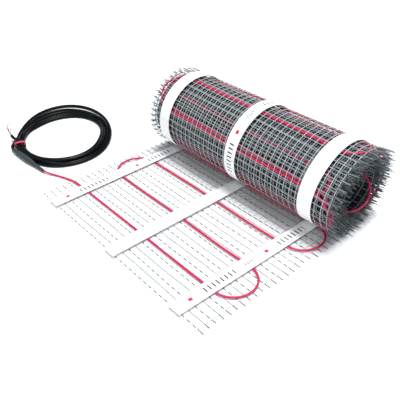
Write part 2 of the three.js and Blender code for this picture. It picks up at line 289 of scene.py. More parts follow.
# %% A class for values
class Value:
    """A number that varies over a surface: the output of a node, with arithmetic on it."""

    def __init__(self, finish, socket):
        self.finish = finish
        self.socket = socket

    def math(self, operation, *others):
        inputs = dict(enumerate((self, *others)))
        return self.finish.node("ShaderNodeMath", {"operation": operation}, inputs)

    def __add__(self, other):
        return self.math("ADD", other)

    __radd__ = __add__

    def __mul__(self, other):
        return self.math("MULTIPLY", other)

    __rmul__ = __mul__

    def __sub__(self, other):
        return self.math("SUBTRACT", other)

    def __rsub__(self, other):
        return (self * -1) + other

    def __truediv__(self, other):
        return self.math("DIVIDE", other)

    def fraction(self):
        return self.math("FRACT")

    def size(self):
        return self.math("ABSOLUTE")

    def sine(self):
        return self.math("SINE")

    def rise(self, start, end):
        """0 before start, 1 past end, smooth between."""
        inputs = {"Value": self, "From Min": start, "From Max": end, "To Min": 0.0, "To Max": 1.0}
        return self.finish.node("ShaderNodeMapRange", {"interpolation_type": "SMOOTHSTEP"}, inputs)


# %% A class for finishes
class Finish:
    """One material. Its shader is a Principled BSDF whose sockets are set or fed by formulas."""

    def __init__(self, name, **constants):
        self.material = bpy.data.materials.new(name)
        self.material.use_nodes = True
        self.tree = self.material.node_tree
        self.tree.nodes.clear()
        self.shader = self.tree.nodes.new("ShaderNodeBsdfPrincipled")
        output = self.tree.nodes.new("ShaderNodeOutputMaterial")
        self.tree.links.new(self.shader.outputs[0], output.inputs[0])
        for socket, value in constants.items():
            self.feed(self.shader, socket.replace("_", " "), value)

    def feed(self, node, socket, value):
        if isinstance(value, Value):
            self.tree.links.new(value.socket, node.inputs[socket])
        else:
            node.inputs[socket].default_value = value

    def node(self, kind, settings, inputs, out=0):
        """Adds a node, makes its settings, then sets or links its inputs, and gives an output."""
        node = self.tree.nodes.new(kind)
        for key, value in settings.items():
            setattr(node, key, value)
        for socket, value in inputs.items():
            self.feed(node, socket, value)
        return Value(self, node.outputs[out])

    def set(self, socket, value):
        self.feed(self.shader, socket, value)

    def object_place(self):
        return self.node("ShaderNodeTexCoord", {}, {}, "Object")

    def object_axes(self):
        """The object's own x, y and z, in metres."""
        return [self.node("ShaderNodeSeparateXYZ", {}, {0: self.object_place()}, out) for out in range(3)]

    def places(self):
        """The piece's own UV map as two numbers: millimetres across, and along, the piece."""
        uv = self.node("ShaderNodeUVMap", {"uv_map": "place"}, {})
        return [self.node("ShaderNodeSeparateXYZ", {}, {0: uv}, out) for out in (0, 1)]

    def tone(self):
        return self.node("ShaderNodeAttribute", {"attribute_name": "tone"}, {}, "Fac")

    def noise(self, scale, detail=3.0, vector=None, out=0):
        inputs = {"Vector": vector or self.object_place(), "Scale": scale, "Detail": detail}
        return self.node("ShaderNodeTexNoise", {}, inputs, out)

    def mix(self, factor, first, second):
        """A colour between two: factor 0 gives the first, 1 the second."""
        settings = {"data_type": "RGBA"}
        return self.node("ShaderNodeMix", settings, {0: factor, 6: first, 7: second}, 2)

    def bump(self, height, depth, strength=1.0):
        """Relief of so many metres from a height between 0 and 1."""
        inputs = {"Height": height, "Distance": depth, "Strength": strength}
        self.set("Normal", self.node("ShaderNodeBump", {}, inputs))


# %% Colours
def rgb(hexadecimal):
    """A web colour as linear RGBA, by the sRGB formula."""
    parts = [int(hexadecimal[i : i + 2], 16) / 255 for i in (0, 2, 4)]
    linear = [c / 12.92 if c <= 0.04045 else ((c + 0.055) / 1.055) ** 2.4 for c in parts]
    return (*linear, 1.0)


print("a middle grey as linear light:", round(rgb("808080")[0], 3))

# %% [markdown]
# ## Finishes of the cords
# The heating cable has a smooth crimson jacket, the cold lead a black one that shines a little
# more, and the splice is covered by dull dark-grey heat-shrink sleeve. Plastic jackets vary mostly
# in gloss, so a fine noise feeds the roughness and a faint one the colour.

# %% Jacket finishes
def jacket(name, dark, light, rough, relief=0.00004, gloss=0.5):
    """A plastic jacket: colour between two near shades, roughness a little uneven."""
    finish = Finish(name, Specular_IOR_Level=gloss)
    cloud = finish.noise(60.0)
    finish.set("Base Color", finish.mix(cloud, rgb(dark), rgb(light)))
    finish.set("Roughness", finish.noise(240.0) * 0.16 + (rough - 0.08))
    finish.bump(finish.noise(900.0, 2.0), relief)
    return finish.material


HEATER_RED = jacket("heater_red", "c00c48", "d81858", 0.42)
LEAD_BLACK = jacket("lead_black", "020506", "070d0f", 0.32, gloss=0.14)
SLEEVE_GREY = jacket("sleeve_grey", "232d30", "323f42", 0.6, 0.0002)
TIE_RED = jacket("tie_red", "c81740", "e03a62", 0.45)
WIRE_BLUE = jacket("wire_blue_pvc", "123a86", "1f57b4", 0.4)
WIRE_RED = jacket("wire_red_pvc", "9c0c2a", "c01c40", 0.4)
print("jackets:", HEATER_RED.name, LEAD_BLACK.name, SLEEVE_GREY.name)

# %% Bare conductor
bare = Finish("tinned_copper", Metallic=0.9, Roughness=0.35)
bare.set("Base Color", bare.mix(bare.noise(300.0), rgb("8f8a86"), rgb("c9c5c0")))
TINNED = bare.material
print("bare conductor:", TINNED.name)

# %% [markdown]
# ## The cords
# Two cords leave the mat. A short tail of the red cable runs from the edge of the net to the
# splice. From there the cold lead makes its turns and ends in three stripped conductors. The free
# stretches are short lists of given points.

# %% Points of the free stretches, in metres
TAIL = [
    [-0.2384, 0.0660, 0.0044],
    [-0.2470, 0.0636, 0.0042],
    [-0.2640, 0.0590, 0.0032],
    [-0.2830, 0.0520, 0.0030],
    [-0.3000, 0.0440, 0.0042],
    [-0.3167, 0.0380, 0.0058],
]
LEAD_START = [[-0.4419, 0.0290, 0.0090], [-0.4590, 0.0325, 0.0090], [-0.4740, 0.0455, 0.0080]]
SLEEVE_LINE = [[-0.4410, 0.0290, 0.0090], [-0.3170, 0.0380, 0.0058]]
TAIL_DIAMETER = 0.004
LEAD_DIAMETER = 0.0075
CORD_SIDES = 12


def spline(points, spacing):
    """A Catmull-Rom curve through points, as points a chosen spacing apart. Each stretch is the
    cubic through its two ends whose slope at a point is half the way between its neighbours."""
    p = np.asarray(points, float)
    p = np.vstack([2 * p[0] - p[1], p, 2 * p[-1] - p[-2]])
    t = np.linspace(0, 1, 33)[:-1, None]
    pieces = []
    for a, b, c, d in zip(p, p[1:], p[2:], p[3:]):
        slope = (c - a) * t
        bend = (2 * a - 5 * b + 4 * c - d) * t**2
        twist = (3 * b - a - 3 * c + d) * t**3
        pieces.append(0.5 * (2 * b + slope + bend + twist))
    dense = np.vstack([*pieces, p[-2:-1]])
    return evenly(dense, spacing)


def evenly(points, spacing):
    """The same line with points at equal distances along it."""
    distance = np.r_[0, np.cumsum(np.linalg.norm(np.diff(points, axis=0), axis=1))]
    count = max(2, round(distance[-1] / spacing) + 1)
    wanted = np.linspace(0, distance[-1], count)
    return np.stack([np.interp(wanted, distance, points[:, k]) for k in range(points.shape[1])], -1)


def length_of(points):
    return np.linalg.norm(np.diff(points, axis=0), axis=1).sum()


print("tail", round(length_of(spline(TAIL, 0.004)), 4), "metres")

# %% The tail of the heating cable
tail_path = spline(np.array(TAIL) * 1000, 3.0)
tail_surface = sweep_in_space(tail_path, 500 * TAIL_DIAMETER, CORD_SIDES)
tail = make_piece("cable_tail", "heating_cable", HEATER_RED, *tail_surface)
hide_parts("heating_cable_tail")

# %% [markdown]
# ### The splice sleeve
# Heat-shrink sleeve follows what is under it: thin over the red cable, fat over the crimped joint,
# and a firm grip on the black lead. It is a profile of radius against distance, turned about the
# line between its ends, with a little ripple where the sleeve has shrunk unevenly.

# %% Sleeve
SLEEVE_PROFILE = [[0, 5.0], [22, 6.3], [40, 7.1], [64, 7.1], [88, 4.6], [124, 3.4]]


def sleeve_surface():
    """Rings along the sleeve's line. The radius is the profile, smoothed, plus a small ripple, and
    it closes to almost nothing at both ends."""
    start, end = np.array(SLEEVE_LINE) * 1000
    profile = spline(SLEEVE_PROFILE, 2.0)
    distance, radius = profile[:, 0], profile[:, 1]
    radius = radius - 0.25 + 0.18 * np.sin(distance * 0.55) * np.sin(distance * 0.21 + 1)
    lips = np.r_[0.0, 0.01, np.full(len(distance), 0.6), 0.61, 0.62]
    distance = np.r_[0, 0, distance, distance[-1], distance[-1]] + lips
    radius = np.r_[0.3, radius[0] - 0.6, radius, radius[-1] - 0.5, 0.3]
    direction = (end - start) / np.linalg.norm(end - start)
    centres = start + direction * distance[:, None]
    return sweep_in_space(centres, radius, 20)


sleeve = make_piece("splice", "splice_sleeve", SLEEVE_GREY, *sleeve_surface())
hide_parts("splice_sleeve")

# %% [markdown]
# ### The coil of cold lead
# A coil could be a neat helix, but a hand-wound one is uneven and stacked. Its turns are first laid
# between an inner and an outer rim. Then, round after round, strands that overlap are pushed apart
# while their weight presses them down.

# %% The rims of the coil
OUTER_RIM = [131, 122, 116.5, 126.5, 152, 176, 158, 127, 116, 114, 123, 131.5]
INNER_RIM = [95, 88, 87.5, 94, 99, 98, 92.5, 94, 94, 92.5, 93, 95.5]
COIL_MIDDLE = np.array([-416.0, 147.0])
COIL_TURNS = 5
TIE_ANGLE = math.radians(249)
COIL_TOP = 16.1
COIL_POINT_STEP = 8.0
FIRST_ANGLE = math.radians(228.5)
LAST_ANGLE = math.radians(238)
LAYER_HEIGHTS = [3.9, 11.5]
LAYING_ROOM = 4.0
STRAND_ROOM = 3.8
ROOM_UNDER_TIE = 1.9


def rim(reaches, angle):
    """Distance from the middle of the coil to a rim in a direction. The rim is known every thirty
    degrees, and between those a sum of cosines passes through all twelve values."""
    waves = np.fft.rfft(reaches) / len(reaches)
    waves[1:-1] *= 2
    turns = np.asarray(angle)[..., None] * np.arange(len(waves))
    return (waves.real * np.cos(turns) - waves.imag * np.sin(turns)).sum(-1)


tie_rims = rim(INNER_RIM, TIE_ANGLE).round(1), rim(OUTER_RIM, TIE_ANGLE).round(1)
print("at the tie the coil reaches from", *tie_rims, "mm from its middle")


# %% The turns, laid and settled
def lay_coil():
    """The centreline of the turns before they settle. The lead goes inwards for the first half of
    its turns and comes outwards on top of them for the other half."""
    total = 2 * np.pi * COIL_TURNS - (LAST_ANGLE - FIRST_ANGLE)
    done = np.linspace(0, 1, round(3600 / COIL_POINT_STEP))
    angle = FIRST_ANGLE - done * total
    knots = [0, 0.6, 1.2, 1.4, 1.5, 1.7, 2.2, 2.6, 3.2, 3.45, 3.65, 4.2, 4.45, 4.65, 5]
    shares = [1.0, 1.0, 0.7, 0.44, 0.44, 0.62, 0.08, 0.0, 0.22, 0.25, 0.6, 0.48, 0.5, 0.9, 0.8]
    share = np.interp(done * COIL_TURNS, knots, shares)
    inner = rim(INNER_RIM, angle) + LAYING_ROOM
    outer = rim(OUTER_RIM, angle) - LAYING_ROOM
    radius = inner + (outer - inner) * share
    height = np.where(done < 0.52, *LAYER_HEIGHTS)
    height = np.convolve(np.pad(height, 6, "edge"), np.full(13, 1 / 13), "valid")
    x = COIL_MIDDLE[0] + radius * np.cos(angle)
    y = COIL_MIDDLE[1] + radius * np.sin(angle)
    return np.stack([x, y, height], -1)


SETTLE_ROUNDS = 260
SINK = 0.12
SMOOTHING = 0.25
DRAW_BACK = 0.05
PUSH_APART = 0.28


def settle(line):
    """Pushes strands of the coil apart where they are nearer than the lead is thick, lets them
    sink, keeps them smooth, and draws them gently back to where they were laid."""
    gap = 1000 * LEAD_DIAMETER + 0.15
    laid = line.copy()
    index = np.arange(len(line))
    apart = np.abs(index[:, None] - index[None]) > 6
    for _ in range(SETTLE_ROUNDS):
        line[:, 2] -= SINK
        line[1:-1] += SMOOTHING * ((line[:-2] + line[2:]) / 2 - line[1:-1])
        line[:, :2] += DRAW_BACK * (laid[:, :2] - line[:, :2])
        delta = line[:, None] - line[None]
        distance = np.linalg.norm(delta, axis=-1) + 1e-6
        overlap = np.where(apart, np.clip(gap - distance, 0, None), 0)
        line += PUSH_APART * (delta / distance[..., None] * overlap[..., None]).sum(1)
        flat = line[:, :2] - COIL_MIDDLE
        angle = np.arctan2(flat[:, 1], flat[:, 0])
        radius = np.linalg.norm(flat, axis=1)
        nearest, farthest = rim(INNER_RIM, angle) + STRAND_ROOM, rim(OUTER_RIM, angle) - STRAND_ROOM
        kept = np.clip(radius, nearest, farthest)
        line[:, :2] = COIL_MIDDLE + flat * (kept / radius)[:, None]
        from_tie = (angle - TIE_ANGLE + np.pi) % (2 * np.pi) - np.pi
        lowest = STRAND_ROOM + ROOM_UNDER_TIE * np.exp(-((from_tie / 0.15) ** 2))
        line[:, 2] = np.clip(line[:, 2], lowest, COIL_TOP - 500 * LEAD_DIAMETER)
    return line


turns = settle(lay_coil())
print("coil laid:", len(turns), "points,", round(length_of(turns)), "mm")

# %% The whole cold lead as one cord
STUB_END = [[-484.0, 52.0, 11.6], [-493.0, 51.0, 12.6], [-500.5, 52.0, 13.5]]
lead_path = spline(np.vstack([np.array(LEAD_START) * 1000, turns[1:-1], STUB_END]), 5.0)
lead_surface = sweep_in_space(lead_path, 500 * LEAD_DIAMETER, CORD_SIDES)
lead = make_piece("cold_lead", "lead_sheath", LEAD_BLACK, *lead_surface)
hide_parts("cold_lead_coil", "cold_lead_to_splice", "cold_lead_end")
print("cold lead:", round(length_of(lead_path) / 1000, 3), "metres")

# %% [markdown]
# ### The stripped end and the tie
# The far end of the lead has its jacket cut back, and three conductors stand out of it: two in
# coloured insulation and the bare screen. A thin tie is wound three times round the turns.

# %% Conductors
CONDUCTOR_DIAMETER = 1.6
CONDUCTOR_LINES = {
    "blue": [[-502.6, 51.3, 13.6], [-504.5, 51.2, 18], [-507, 51, 24], [-510, 52, 31], [-514, 54, 38]],
    "red": [[-499.4, 51.2, 13.6], [-499, 49.5, 19], [-499, 48, 25], [-499.6, 47, 32], [-501, 46, 40]],
    "bare": [[-501, 51.6, 15.8], [-501.6, 52.6, 22], [-502.5, 54, 29], [-503.5, 55.5, 37], [-505, 57, 45]],
}
CONDUCTOR_FINISH = {"blue": WIRE_BLUE, "red": WIRE_RED, "bare": TINNED}
for colour, line in CONDUCTOR_LINES.items():
    surface = sweep_in_space(spline(line, 1.5), CONDUCTOR_DIAMETER / 2, 10)
    wire = make_piece(f"wire_{colour}", f"wire_{colour}", CONDUCTOR_FINISH[colour], *surface)
    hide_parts(f"conductor_{colour}")

# %% Tie
TIE_STRAND = 2.4
TIE_ROUNDS = 3
TIE_MIDDLE = 8.9
TIE_RISE = 7.5
TIE_CORNER = 0.45
TIE_HALF = float(rim(OUTER_RIM, TIE_ANGLE) - rim(INNER_RIM, TIE_ANGLE)) / 2 + 1.5
TIE_REACH = float(rim(OUTER_RIM, TIE_ANGLE) + rim(INNER_RIM, TIE_ANGLE)) / 2


def tie_surface():
    """Three rounds of a thin strand. The line is a rounded box, a circle raised to a high power, that
    moves sideways as it goes round."""
    turn = np.linspace(-0.5 * np.pi, (2 * TIE_ROUNDS - 0.5) * np.pi, 48 * TIE_ROUNDS + 1)
    c, s = np.cos(turn), np.sin(turn)
    across = TIE_HALF * np.sign(c) * np.abs(c) ** TIE_CORNER
    height = TIE_MIDDLE + TIE_RISE * np.sign(s) * np.abs(s) ** TIE_CORNER
    sideways = TIE_STRAND * ((turn + 0.5 * np.pi) / (2 * np.pi) - TIE_ROUNDS / 2)
    out = np.array([math.cos(TIE_ANGLE), math.sin(TIE_ANGLE)])
    to_side = np.array([-out[1], out[0]])
    flat = COIL_MIDDLE + out * (TIE_REACH + across)[:, None] + to_side * sideways[:, None]
    return sweep_in_space(np.column_stack([flat, height]), TIE_STRAND / 2, 8)


tie = make_piece("tie", "lead_tie", TIE_RED, *tie_surface())
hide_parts("lead_tie")
print("tie spans", round(2 * TIE_HALF, 1), "mm")

print("declared two cords, which end at", tail_path[-1].round(1), "and", lead_path[-1].round(1), "mm")

# %% [markdown]
# ## The heating cable on the mat
# The cable crosses the mat in straight runs and turns back in half circles beyond the outer tapes.
# The outer turn of the roll shows it as well as the flat stretch, and through the net one sees
# runs of the next turns in. Each zigzag is one line of places on the mat, and the sweep above gives
# it its thickness. Real runs are never quite straight, so each wanders by a millimetre or two.

# %% Zigzag lines
FIRST_RUN = 68.5
FLAT_RUNS = [FIRST_RUN, 152.0, 235.5, 319.0]
ROLLED_RUNS = [29.3, 84.3, 141.0, 190.5, 251.0, 310.0]
LEFT_TURN = -189.0
RIGHT_TURN = 198.0
CABLE_HEIGHT = 4.4
CABLE_DIAMETER = 4.0
NET_WIDTH = 476.0
WANDER = 0.9
random = np.random.default_rng(7)


def zigzag(runs, above, to_right, lead_in=None):
    """The cable's line through runs at given distances along the mat. Neighbouring runs are joined
    by a half ellipse whose reach across is half the real distance between them."""
    parts = [] if lead_in is None else [np.array(lead_in, float)]
    for k, run in enumerate(runs):
        ends = (LEFT_TURN, RIGHT_TURN) if to_right else (RIGHT_TURN, LEFT_TURN)
        start = ends[0] if k or lead_in is None else lead_in[-1][0] + 10
        t = np.linspace(0, 1, 90)
        wander = random.normal(0, WANDER, 3) @ np.sin(np.pi * np.arange(1, 4)[:, None] * t)
        parts.append(np.column_stack([start + (ends[1] - start) * t, run + wander]))
        if k + 1 < len(runs):
            middle, half = (run + runs[k + 1]) / 2, (runs[k + 1] - run) / 2
            real = half * turn_radius(max(middle - FLAT_LENGTH, 0) / ROLL_RADIUS) / ROLL_RADIUS
            sign = 1 if to_right else -1
            u = np.linspace(-np.pi / 2, np.pi / 2, 42)[1:-1]
            parts.append(np.column_stack([ends[1] + sign * real * np.cos(u), middle + half * np.sin(u)]))
        to_right = not to_right
    line = evenly(np.vstack(parts), 4.0)
    return np.column_stack([line, np.full(len(line), above)])


outer_runs = FLAT_RUNS + [along_at(degrees) for degrees in ROLLED_RUNS]
mat_edge = [[-NET_WIDTH / 2 - 4, FIRST_RUN - 3], [LEFT_TURN - 20, FIRST_RUN]]
outer_line = zigzag(outer_runs, CABLE_HEIGHT, True, mat_edge)
outer_surface = sweep_on_mat(outer_line, oval_section(CABLE_DIAMETER, CABLE_DIAMETER, 10))
cable = make_piece("cable", "heating_cable", HEATER_RED, *outer_surface)
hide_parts("heating_cable")
print("cable on the outside:", round(length_of(outer_line) / 1000, 2), "metres")

# %% Runs on the inner turns
INNER_RUNS = [
    ([along_at(360 + a) for a in (12, 72, 134, 184, 246.5, 312)], True, 3.4),
    ([along_at(720 + a) for a in (30, 98, 160, 222, 250.5, 300)], False, 0.6),
]
cable_section = oval_section(CABLE_DIAMETER, CABLE_DIAMETER, 8)
inner_cables = []
for runs, to_right, above in INNER_RUNS:
    inner_cables.append(sweep_on_mat(zigzag(runs, above, to_right), cable_section))
make_piece("cable_inner_turns", "heating_cable", HEATER_RED, *join(*inner_cables))

# %% [markdown]
# ## The net
# The net is a plain open weave of glass yarn, about fourteen millimetres between yarns both ways.
# Yarns along the mat go over one cross yarn and under the next. On a pale floor a cross yarn shows
# as a grey line of painted shadow, broken where the bright yarns lie over it. Modelling each yarn as a
# thin oval tube keeps real gaps in the net, so the floor and the inner turns show through. The free
# ends of the cross yarns beyond the last yarn are greyer, and near the roll both kinds are darkened
# by painted shade.

# %% Net finishes
WARP_STEP = 14.0
WEFT_STEP = 14.25


def yarn_finish(name, bright, dull, dash_shadow, end_dark, dash_share):
    """Glass yarn. Cross yarns carry tone 1 or 2, and painted shadow. Those with 1 are dark between the
    yarns that cross them: a dash is a rise of the distance to the nearest crossing. Those with 2 are
    evenly grey. Near the nip all yarns are mixed towards grey as painted shade."""
    finish = Finish(name, Roughness=0.75, Specular_IOR_Level=0.25)
    across, along = finish.places()
    # Painted shadow of the cross yarns: dark dashes between crossings on tone 1, even grey on tone 2.
    crossing = ((across / WARP_STEP + 0.5).fraction() - 0.5).size()
    dash = crossing.rise(dash_share, dash_share + 0.09)
    weft = finish.tone().rise(0.4, 0.6)
    long_dash = finish.tone().rise(1.4, 1.6)
    weft_shadow = weft * (dash * (1 - long_dash * 0.85) + long_dash * 0.45)
    fibre = finish.noise(500.0, 2.0)
    body = finish.mix(fibre, rgb(bright), rgb(dull))
    # Painted shade: near the nip, under the roll, the yarns are mixed towards grey.
    nip_shade = along.rise(285, 350) * (1 - along.rise(358, 380))
    shaded = finish.mix(nip_shade * 0.8, body, rgb("848c8f"))
    woven = finish.mix(weft_shadow, shaded, rgb(dash_shadow))
    free_end = across.size().rise(NET_WIDTH / 2, NET_WIDTH / 2 + 2)
    finish.set("Base Color", finish.mix(free_end, woven, rgb(end_dark)))
    finish.bump(((across + along) * 2.2).sine() * 0.5 + 0.5, 0.0002)
    return finish.material


GLASS_FLAT = yarn_finish("glass_yarn", "f7f8f8", "e6e9ea", "59625f", "6f787a", 0.17)
# Painted shade: the rolled copy of the yarn is darker than the flat one, and the inner copy darker still.
GLASS_ROLL_SHADED = yarn_finish("glass_yarn_rolled_shaded", "d3d7d9", "9fa5a8", "90979a", "4c5355", 0.17)
GLASS_INNER_SHADED = yarn_finish("glass_yarn_inner_shaded", "a6adb0", "7a8285", "8b9396", "3c4244", 0.12)
print("yarn finishes:", GLASS_FLAT.name, GLASS_ROLL_SHADED.name, GLASS_INNER_SHADED.name)

# %% Yarns as tubes
WARPS = 35
NET_MIDDLE = 1.6
WARP_WIDTH = 2.0
WEFT_WIDTH = 1.8
YARN_HEIGHT = 0.7
YARN_WAVE = 0.4
YARN_ENDS = [8.0, 13.0]
FINE_PIECES = 34
COARSE_PIECES = 24


def warp_yarns(first, last, step, looseness=0.0, width=WARP_WIDTH):
    """Yarns along the mat. Height is the net's middle plus a wave of one cosine over two rows."""
    count = int((last - first) / step) + 1
    along = np.linspace(first, last, count)
    places = (np.arange(WARPS) - WARPS // 2) * WARP_STEP
    centres = np.zeros((len(places), count, 3))
    centres[..., 0] = places[:, None] + looseness * np.sin(along * 0.031 + places[:, None] * 0.4)
    centres[..., 1] = along
    wave = YARN_WAVE * np.cos(np.pi * along / WEFT_STEP)
    centres[..., 2] = NET_MIDDLE + wave + looseness * np.sin(along * 0.045 + places[:, None])
    surface = sweep_on_mat(centres, oval_section(width, YARN_HEIGHT, 4))
    return surface, np.zeros(len(surface[0]))


def weft_yarns(rows, pieces=FINE_PIECES, looseness=0.0, width=WEFT_WIDTH):
    """Yarns across the mat, with their free ends. Even rows lie low and odd rows lie high."""
    rows = np.asarray(rows)
    reach_out = NET_WIDTH / 2 + np.array(YARN_ENDS) + random.normal(0, 1.5, (len(rows), 2))
    t = np.linspace(0, 1, pieces + 1)
    centres = np.zeros((len(rows), len(t), 3))
    centres[..., 0] = -reach_out[:, :1] + (reach_out.sum(1, keepdims=True)) * t
    bend = random.normal(0, 0.5, (len(rows), 4)) @ np.sin(np.pi * np.arange(1, 5)[:, None] * t)
    centres[..., 1] = rows[:, None] + bend
    odd = np.arange(len(rows)) % 2
    centres[..., 2] = NET_MIDDLE - YARN_WAVE * np.where(odd, -1, 1)[:, None] + looseness * bend
    surface = sweep_on_mat(centres, oval_section(width, YARN_HEIGHT, 4))
    tone = np.repeat(1.0 + odd, len(t) * 4)
    return surface, tone


def make_net(name, slot, material, *sets):
    """One piece from several sets of yarns, each with its tones."""
    surfaces = [surface for surface, _ in sets]
    tones = np.concatenate([tone for _, tone in sets])
    return make_piece(name, slot, material, *join(*surfaces), tone=tones)


# %% The flat net
FLAT_ROWS = 26
ROLL_ROWS = 36
FIRST_WARP = -5.0
nip = FLAT_ROWS * WEFT_STEP
flat_rows = np.arange(FLAT_ROWS) * WEFT_STEP
sets = [warp_yarns(FIRST_WARP, nip, WEFT_STEP / 2), weft_yarns(flat_rows)]
flat_net = make_net("net", "glass_net", GLASS_FLAT, *sets)
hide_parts("net_flat")

# %% Net round the roll
OUTER_LAST = 345.0
roll_rows = np.arange(FLAT_ROWS, FLAT_ROWS + ROLL_ROWS) * WEFT_STEP
outer_end = along_at(OUTER_LAST)
sets = [warp_yarns(nip, outer_end, WEFT_STEP / 2), weft_yarns(roll_rows[roll_rows < outer_end])]
make_net("net_outer_turn", "rolled_net", GLASS_ROLL_SHADED, *sets)

# %% [markdown]
# ### The second turn
# Between two cross yarns of the outer turn one sees a cross yarn of the turn below, half a step
# further on. The yarns of the second turn are drawn wider, because several turns below them lie
# almost in line.

# %% The second turn of the net
SECOND_WARP_WIDTH = 3.2
SECOND_WEFT_WIDTH = 3.4
begin, end = along_at(OUTER_LAST), along_at(OUTER_LAST + 360)
rows = np.arange(FLAT_ROWS + 0.5, FLAT_ROWS + ROLL_ROWS + 3) * WEFT_STEP + 2 * np.pi * ROLL_RADIUS
warps = warp_yarns(begin, end, 8.0, 0.4, SECOND_WARP_WIDTH)
wefts = weft_yarns(rows[rows < end], COARSE_PIECES, 0.3, SECOND_WEFT_WIDTH)
make_net("net_turn_2", "rolled_net", GLASS_INNER_SHADED, warps, wefts)

# %% [markdown]
# ### The turn that lines the bore
# Looking into the bore one sees the innermost turn of the net and a loop of cable on it. It is the
# same mat again, so the same function carries it there, many turns further along.

# %% The innermost turn
BORE_FIRST = 4290.0
BORE_NET_RADIUS = 46.0
BORE_CABLE_HEIGHT = 2.6
BORE_RUNS = (-20, 140, 300)
BORE_LOOP = 18.0
begin, end = along_at(BORE_FIRST), along_at(BORE_FIRST + 360)
bore_rows = np.arange(begin, end, WEFT_STEP * ROLL_RADIUS / BORE_NET_RADIUS)
sets = [warp_yarns(begin, end, 24.0), weft_yarns(bore_rows, COARSE_PIECES)]
make_net("net_bore_turn", "rolled_net", GLASS_INNER_SHADED, *sets)
bore_line = zigzag([along_at(BORE_FIRST + a) for a in BORE_RUNS], BORE_CABLE_HEIGHT, True)
bore_line[:, 0] -= BORE_LOOP * np.clip(bore_line[:, 0] / RIGHT_TURN, 0, 1)
make_piece("cable_bore_turn", "heating_cable", HEATER_RED, *sweep_on_mat(bore_line, cable_section))

# %% [markdown]
# ## The tapes
# Three strips of white tape lie under the net and go on round the outside of the roll. Three more
# lie over the net and hold the cable. They are smooth and slightly satin, and three carry rows of
# printed ticks. The strips are swept like the yarns, but with a flat section.

# %% Tape finish
MARK_REPEAT = 170.0
TICK_STEP = 9.0
SMALL_TICK_STEP = 5.0


def tape_finish(name, marked):
    """White tape. Marks are ticks in rows: a tick is where the distance along, taken in steps, is
    near the middle of its step, limited to a band across the tape and to part of each repeat."""
    finish = Finish(name, Roughness=0.5, Specular_IOR_Level=0.35)
    across, along = finish.places()
    cloud = finish.noise(18.0)
    base = finish.mix(cloud, rgb("f7f8f9"), rgb("fdfdfd"))
    if marked:
        part = (along / MARK_REPEAT).fraction()
        tick = 1 - ((along / TICK_STEP).fraction() - 0.5).size().rise(0.13, 0.17)
        tall = 1 - across.size().rise(5.6, 6.0)
        row = part.rise(0.30, 0.302) * (1 - part.rise(0.72, 0.722))
        small_tick = 1 - ((along / SMALL_TICK_STEP).fraction() - 0.5).size().rise(0.16, 0.2)
        small_row = part.rise(0.86, 0.862) * (1 - part.rise(0.96, 0.962))
        small = small_tick * (1 - across.size().rise(3.0, 3.3)) * small_row
        ink = (tick * tall * row + small).math("MINIMUM", 1.0)
        base = finish.mix(ink, base, rgb("2b3235"))
        dot_row = part.rise(0.14, 0.142) * (1 - part.rise(0.185, 0.187))
        dot = (1 - across.size().rise(3.2, 3.6)) * dot_row
        base = finish.mix(dot, base, rgb("d8304f"))
    finish.set("Base Color", base)
    finish.bump(finish.noise(70.0, 2.0), 0.0003)
    return finish.material


TAPE_PLAIN = tape_finish("tape_plain", False)
TAPE_MARKED = tape_finish("tape_marked", True)
print("tape finishes:", TAPE_PLAIN.name, TAPE_MARKED.name)

# %% Tapes
TAPE_PLACES = {"left": -195.0, "middle": 5.0, "right": 189.0}
MARKED_WIDTH = 28.0
PLAIN_WIDTH = 30.0
TAPE_THICKNESS = 0.8
TAPE_OVERHANG = 6.0
TOP_TAPE_BASE = 6.7
TOP_TAPE_END = 324.0


def tape_strip(place, width, first, last, base):
    """A strip swept along the mat. Its own place counts from its middle, so marks sit centred."""
    along = np.linspace(first, last, max(2, round((last - first) / 5)))
    height = np.full(len(along), base + TAPE_THICKNESS / 2)
    centres = np.column_stack([np.full(len(along), place), along, height])
    points, faces, places = sweep_on_mat(centres, flat_section(width, TAPE_THICKNESS))
    return points, faces, places - [place, 0]


under_end = along_at(325.0)
marked, plain = (TAPE_MARKED, MARKED_WIDTH), (TAPE_PLAIN, PLAIN_WIDTH)
for side, place in TAPE_PLACES.items():
    (over_finish, over_width), (under_finish, under_width) = marked, plain
    if side == "middle":
        (over_finish, over_width), (under_finish, under_width) = plain, marked
    surface = tape_strip(place, over_width, -TAPE_OVERHANG, TOP_TAPE_END, TOP_TAPE_BASE)
    over = make_piece(f"tape_over_{side}", "tape", over_finish, *surface, smooth=False)
    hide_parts(f"tape_above_{side}")
    surface = tape_strip(place, under_width, -TAPE_OVERHANG, under_end, 0.0)
    under = make_piece(f"tape_under_{side}", "tape", under_finish, *surface, smooth=False)
    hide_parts(f"tape_below_{side}")

# %% [markdown]
# ## The core of the roll and its brush ends
# Deep in the roll the turns lie so close that they read as one mass round the bore. It is a ring
# swept round the roll's axis, painted near-black as shade, with the lines of the net painted on it in
# a shaded grey by a formula of the angle and of the distance along the axis.

# %% Core
CORE_OUTER = 75.5
CORE_INNER = 49.5
CORE_HALF = 234.0
CORE_ROWS = 76
CORE_STEPS = 96
core_finish = Finish("rolled_core", Roughness=0.9, Specular_IOR_Level=0.1)
core_x, core_y, core_z = core_finish.object_axes()
axis_x, axis_y, axis_z = to_frame([SIDE_LEAN, FLAT_LENGTH, ROLL_RADIUS])
along_row = (core_y - axis_y).math("ARCTAN2", (core_z - axis_z)) * (CORE_ROWS / (2 * math.pi))
across_row = (core_x - axis_x) * (1000 / WARP_STEP)
warp_line = 1 - ((across_row + 0.5).fraction() - 0.5).size().rise(0.04, 0.09)
weft_line = 1 - ((along_row + 0.5).fraction() - 0.5).size().rise(0.06, 0.14)
net_line = (warp_line + weft_line * 0.8).math("MINIMUM", 1.0)
